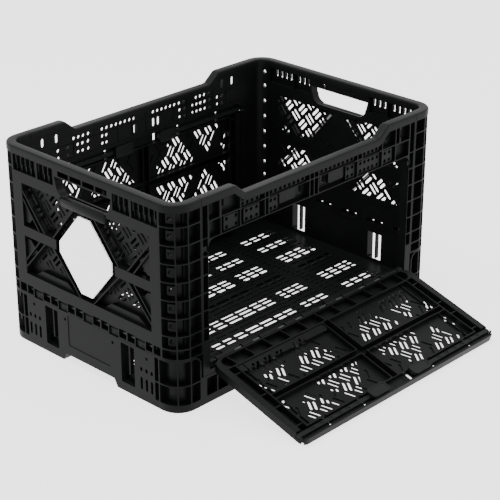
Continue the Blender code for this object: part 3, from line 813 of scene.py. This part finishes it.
def long_wall(name, sy):
    front = sy < 0
    reach = SEAM - 0.4
    outline = [(-reach, LONG_LOW + 0.1), (reach, LONG_LOW + 0.1)] + dip_line(RIM - 0.5)
    panel = Relief(outline, 0, -WALL)
    skin = (-9.5, -9.5 - SKIN) if front else (DEEP, -WALL)
    low_rim = HEIGHT - DIP - RIM

    # top band: skin between ribs, the upper strip under the rim and the lower one over the doorway
    rows = (305, 278, 291) if front else (306.5, 281, 294)
    panel.lay([rect(-230, 272.5, 230, 299 if front else low_rim - 0.5)], *skin)
    panel.lay([rect(-205, 301, 205, low_rim - 0.5)], *skin)
    panel.lay(both([[(156, low_rim - 0.5), (205, low_rim - 0.5), (205, HEIGHT - RIM - 1),
                     (DIP_END + 2, HEIGHT - RIM - 1)]]), *skin)
    panel.lay([rect(u - 1, 272, u + 1, HEIGHT - RIM) for u in BAND_POSTS if abs(u) > 160], 0, -WALL)
    panel.lay([rect(u - 1, 272, u + 1, low_rim) for u in BAND_POSTS if abs(u) < 160], 0, -WALL)
    if front:
        # pads round the holes, and plain patches
        for groups, low, high in ((UPPER_PADS, 300, 309.5), (LOWER_PADS, 273, 296)):
            panel.lay([rounded(left, low, right, high, 1.5) for left, right in groups], -3.0)
        panel.lay([rounded(left, 278.5, right, 296, 3) for left, right in ((-76, -40), (36, 72))], -5.0)
    else:
        # seams on the inner face, round the groups of holes
        panel.lay([rect(-204, z - 0.8, 204, z + 0.8) for z in (275.0, 300.5)], back=-WALL + 1.0)
        panel.lay([rect(u - 0.8, 275, u + 0.8, 311) for u in range(-192, 193, 32)], back=-WALL + 1.0)
    panel.open([circle(u, rows[0], 3.1, 10) for u in UPPER_DOTS])
    panel.open([circle(u, z, 3.1, 10) for u in LOWER_DOTS for z in rows[1:]])
    panel.open([slot(u, 316, 16, 6, 90) for u in (-223, -194, 183, 209)])
    panel.open([slot(u, 288, 16, 6, 90) for u in (-25, 18, 29)])

    # jambs: the ladder beside the end walls carries on
    for low, high in zip(LADDER, LADDER[1:]):
        panel.lay(both([rounded(233.5, max(low + 1, 108), 243.5, high - 1, 1)]), DEEP if not front else -9.0)
    panel.lay(both([rect(209, 301, 231, HEIGHT - RIM - 1), rect(234, 276, 244, HEIGHT - RIM - 1)]), *skin)

    # keepers that the door's bolts slide into
    low, high = (DOOR_AXIS[1] + v for v in BOLT)
    panel.lay(both([rect(DOORWAY[0] - 0.2, low - 0.8, DOORWAY[0] + 10, high + 0.8)]), -4.0, -7.2)

    half, low, high = DOORWAY
    r = 12
    head = arc(half - r, high - r, r, 0, 90) + arc(r - half, high - r, r, 90, 180)
    panel.open([[(-half, low), (half, low)] + head])

    piece = Piece()
    piece.add(*panel.mesh(on_side(sy)))
    piece.sweep(dip_line(0), [(level, depth) for depth, level in rail_profile()],
                lambda u, v, t: np.stack([u, sy * (HALF_W - t), v], 1))
    # leaves of the fold, with their barrels
    axis_z = axis_of(f"{name}_wall_fold")[1]
    for side in (-1, 1):
        x0, x1 = side * 60, side * 180
        piece.block((x0, sy * 167.2, LONG_LOW + 0.1), (x1, sy * 188, 56), 0.6)
        if axis_z < 50:
            piece.block((x0, sy * 167.2, axis_z), (x1, sy * 176.8, 50), 0.6)
        piece.barrel("X", ((x0 + x1) / 2, sy * FOLD_Y, axis_z), 4.9, 120)
    piece.block((-228, sy * 181, 51.5), (228, sy * 186, 56), 0.6)
    # ears for the door's rod
    for left, right in DOOR_EARS:
        piece.block((left, sy * 189.2, 55.5), (right, sy * 197.4, 63), 0.4)
        piece.barrel("X", ((left + right) / 2, sy * DOOR_AXIS[0], DOOR_AXIS[1]), 4.8, right - left)
    piece.make(f"{name}_wall_shell", f"{name}_wall", PLASTIC, f"long_wall_{name}")


def rail_profile():
    """Section of a long wall's rim: (distance from the outside, depth below the top)."""
    out, deep, r = -0.8, WALL + 0.3, 2.6
    return (arc(deep - r, r, r, 0, -90, 4) + arc(out + r, r, r, -90, -180, 4)
            + [(out, RIM - 0.8), (out + 0.8, RIM), (deep - 0.5, RIM), (deep, RIM - 0.5)])


# ---------------------------------------------------------------- doors and latches

PANEL_ROWS = ((33.0, 107.0), (119.0, 183.0))
GROOVE = (PANEL_ROWS[0][1] + PANEL_ROWS[1][0]) / 2
DOOR_SINK = -7.7
BOLT = (188.4, 195.6)               # the latches' bars, above the door's hinge


def door(name, sy, opened):
    r, small = 18.0, 11.0
    outline = (arc(r - DOOR_HALF, 6.6 + r, r, 180, 270) + arc(DOOR_HALF - r, 6.6 + r, r, 270, 360)
               + arc(DOOR_HALF - small, DOOR_TOP - small, small, 0, 90)
               + arc(small - DOOR_HALF, DOOR_TOP - small, small, 90, 180))
    panel = Relief(outline, 0, -DOOR_THICK)
    deep = -DOOR_THICK + 2.2

    # side channels and the row of cells over the hinge
    panel.lay(both([rect(205.5, 32, 219.5, DOOR_TOP - 4)]), deep)
    panel.lay(both([rect(205.5, v - 1, 219.5, v + 1) for v in (46, 101, 131, 176)]), -1.0)
    panel.lay([rounded(-219, 9, 219, 30, 10)], deep)
    for x in range(-200, 201, 40):
        panel.lay([bar((x - 2, 8), (x + 1, 19), 1.8), bar((x + 1, 18), (x + 2, 31), 1.8)], -0.6)

    # four panels round a cross of grooves
    panel.lay([rect(-203, GROOVE - 4.5, 203, GROOVE + 4.5), rect(-6, 32, 6, 184)], deep)
    for low, high in PANEL_ROWS:
        panel.lay(both([rounded(8, low, 203.5, high, 2)]), DOOR_SINK, DOOR_SINK - SKIN)
    panel.lay([rounded(-203.5, 33, -8, 48, 6)], -1.5, DOOR_SINK - SKIN)
    panel.lay(both([rect(190, low + 1, 192, high - 1) for low, high in PANEL_ROWS]), -5.0)

    # slots: a triangle on each side of the door's middle, one beside it that points the other way,
    # part of one at the edge, and blind slots between
    (low, inner), (outer, high) = PANEL_ROWS
    rows = (((low, inner), 57.0, 120.0, [[(26, inner - 10), (122, inner - 10), (84, 39), (68, 39)],
                                         [(112, 41), (188, 41), (158, inner - 8), (148, inner - 8)],
                                         [(180, inner - 7), (202, inner - 7), (202, 60)]]),
            ((outer, high), 154.0, 60.0, [[(20, outer + 2), (124, outer + 2), (84, 177), (66, 177)],
                                          [(116, high - 7), (188, high - 7), (156, 127), (146, 127)],
                                          [(182, outer + 2), (202, outer + 2), (202, 158)]]))
    for (bottom, top), middle, turn, openings in rows:
        for side in (-1, 1):
            lattice = (72 * side - 6, middle), (13.2, 16.8), turn if side > 0 else 180 - turn
            blind = weave(rect(side * 105 - 90, bottom + 17, side * 105 + 90, top - 5), *lattice)
            panel.lay(blind[::3], DOOR_SINK - 1.5)
            for region in openings:
                panel.open(weave([(side * u, v) for u, v in region], *lattice))

    # channel for the latches along the free edge
    panel.lay([rect(-DOOR_HALF + 1.5, 185.5, DOOR_HALF - 1.5, 203)], -6.2, -8.7)
    panel.lay(both([rect(u - 1, 185.5, u + 1, 203) for u in (12, 84, 102, 168, 205)]), -5.8)
    panel.lay(both([rect(DOOR_HALF - 2, BOLT[0] - 0.6, DOOR_HALF + 1, BOLT[1] + 0.6)]), -6.2)
    panel.open([circle(u, v, 2.9, 10) for u in (-165, -86, 82, 176) for v in (186.5, 199)])
    panel.open([rounded(22, 186.5, 28.5, 202, 2)])

    piece = Piece()
    piece.add(*panel.mesh(on_door(sy, opened)))
    y, z = sy * DOOR_AXIS[0], DOOR_AXIS[1]
    for x in (-195, -98, 0, 98, 195):
        piece.barrel("X", (x, y, z), 4.6, 40)
        web = Relief(rect(x - 20, 2, x + 20, 8), DOOR_FACE - abs(y) + 9.5 - DOOR_THICK + 5, -DOOR_THICK + 2)
        piece.add(*web.mesh(on_door(sy, opened)))
    piece.make(f"{name}_door_panel", f"{name}_door", PLASTIC, f"door_{name}")
    for side in (-1, 1):
        latch(name, side, sy, opened)


def latch(name, side, sy, opened):
    word = "right" if side > 0 else "left"
    pad = Relief(rounded(30, 182, 70, 202, 6), 3.0, -3.0)
    pad.lay([rounded(32.5, 184.5, 67.5, 199.5, 4)], 2.4)
    bolt = Relief(rect(60, BOLT[0], 231, BOLT[1]), -1.9, -5.6)
    bolt.lay([rounded(u, 190, u + 9, 194, 1) for u in range(96, 216, 20)], -2.8)
    piece = Piece()
    place = on_door(sy, opened)
    for part in (pad, bolt):
        piece.add(*part.mesh(lambda u, v, t: place(side * u, v, t)))
    piece.make(f"{name}_latch_{word}_slider", f"{name}_latch_{word}", LATCH,
               f"latch_{name}_{word}", soft=0.7)


# ---------------------------------------------------------------- camera, light and floor


def camera():
    azimuth, elevation, distance = math.radians(-46.103), math.radians(24.843), 2.52468
    target = Vector((-0.058012, -0.116138, 0.170))
    back = Vector((math.sin(azimuth) * math.cos(elevation), -math.cos(azimuth) * math.cos(elevation),
                   math.sin(elevation)))
    data = bpy.data.cameras.new("camera")
    data.sensor_width, data.lens = 36.0, 114.67
    data.clip_end = 50
    made = bpy.data.objects.new("camera", data)
    bpy.context.scene.collection.objects.link(made)
    made.location = target + back * distance
    made.rotation_euler = (-back).to_track_quat("-Z", "Y").to_euler()
    bpy.context.scene.camera = made


def grey(level):
    return level, level, level


def studio():
    """Soft light from all round, dimmer from straight above, over a pale self-lit floor."""
    world = bpy.data.worlds.new("studio")
    world.use_nodes = True
    sky = Nodes(world.node_tree)
    place = sky.node("ShaderNodeTexCoord")["Generated"]
    height = sky.node("ShaderNodeSeparateXYZ", None, {"Vector": place})["Z"]
    background = world.node_tree.nodes["Background"]
    sky.feed(background.inputs["Color"], sky.ramp(height, [(0.72, grey(1.0)), (0.98, grey(0.25))]))
    sky.feed(background.inputs["Strength"], 2.1)
    bpy.context.scene.world = world

    mesh = bpy.data.meshes.new("floor")
    bm = bmesh.new()
    bmesh.ops.create_grid(bm, x_segments=1, y_segments=1, size=20.0)
    bm.to_mesh(mesh)
    bm.free()
    floor = bpy.data.objects.new("floor", mesh)
    floor.location.z = -0.0002
    bpy.context.scene.collection.objects.link(floor)
    shader = Shader("floor_paint")
    shader.set(Base_Color=shader.ramp(shader.noise(3.0), [(0.0, grey(0.20)), (1.0, grey(0.21))]),
               Roughness=0.9, Emission_Color=(1, 1, 1, 1), Emission_Strength=2.3)
    mesh.materials.append(shader.material)

    lamps = (("key", (-0.5, 0.3, 2.6), 1.4, 110), ("fill", (1.2, -1.6, 2.1), 1.6, 40))
    for name, place, size, power in lamps:
        data = bpy.data.lights.new(name, "AREA")
        data.shape, data.size, data.energy = "SQUARE", size, power
        lamp = bpy.data.objects.new(name, data)
        bpy.context.scene.collection.objects.link(lamp)
        lamp.location = place
        lamp.rotation_euler = Vector(place).to_track_quat("Z", "Y").to_euler()


camera()
studio()
for side, sx in (("left", -1), ("right", 1)):
    end_wall(side, sx)
    badge(side, sx)
    grip(side, sx)
    rod(f"end_hinge_rod_{side}", "base", "Y", (sx * END_AXIS[0], 0, END_AXIS[1]), 300)
base_tray()
for name, sy, opened in (("front", -1, True), ("back", 1, False)):
    long_wall(name, sy)
    door(name, sy, opened)
    rod(f"wall_hinge_rod_{name}", "base", "X", (0, sy * FOLD_Y, axis_of(f"{name}_wall_fold")[1]), 386)
    rod(f"door_hinge_rod_{name}", f"{name}_wall", "X", (0, sy * DOOR_AXIS[0], DOOR_AXIS[1]), 456)
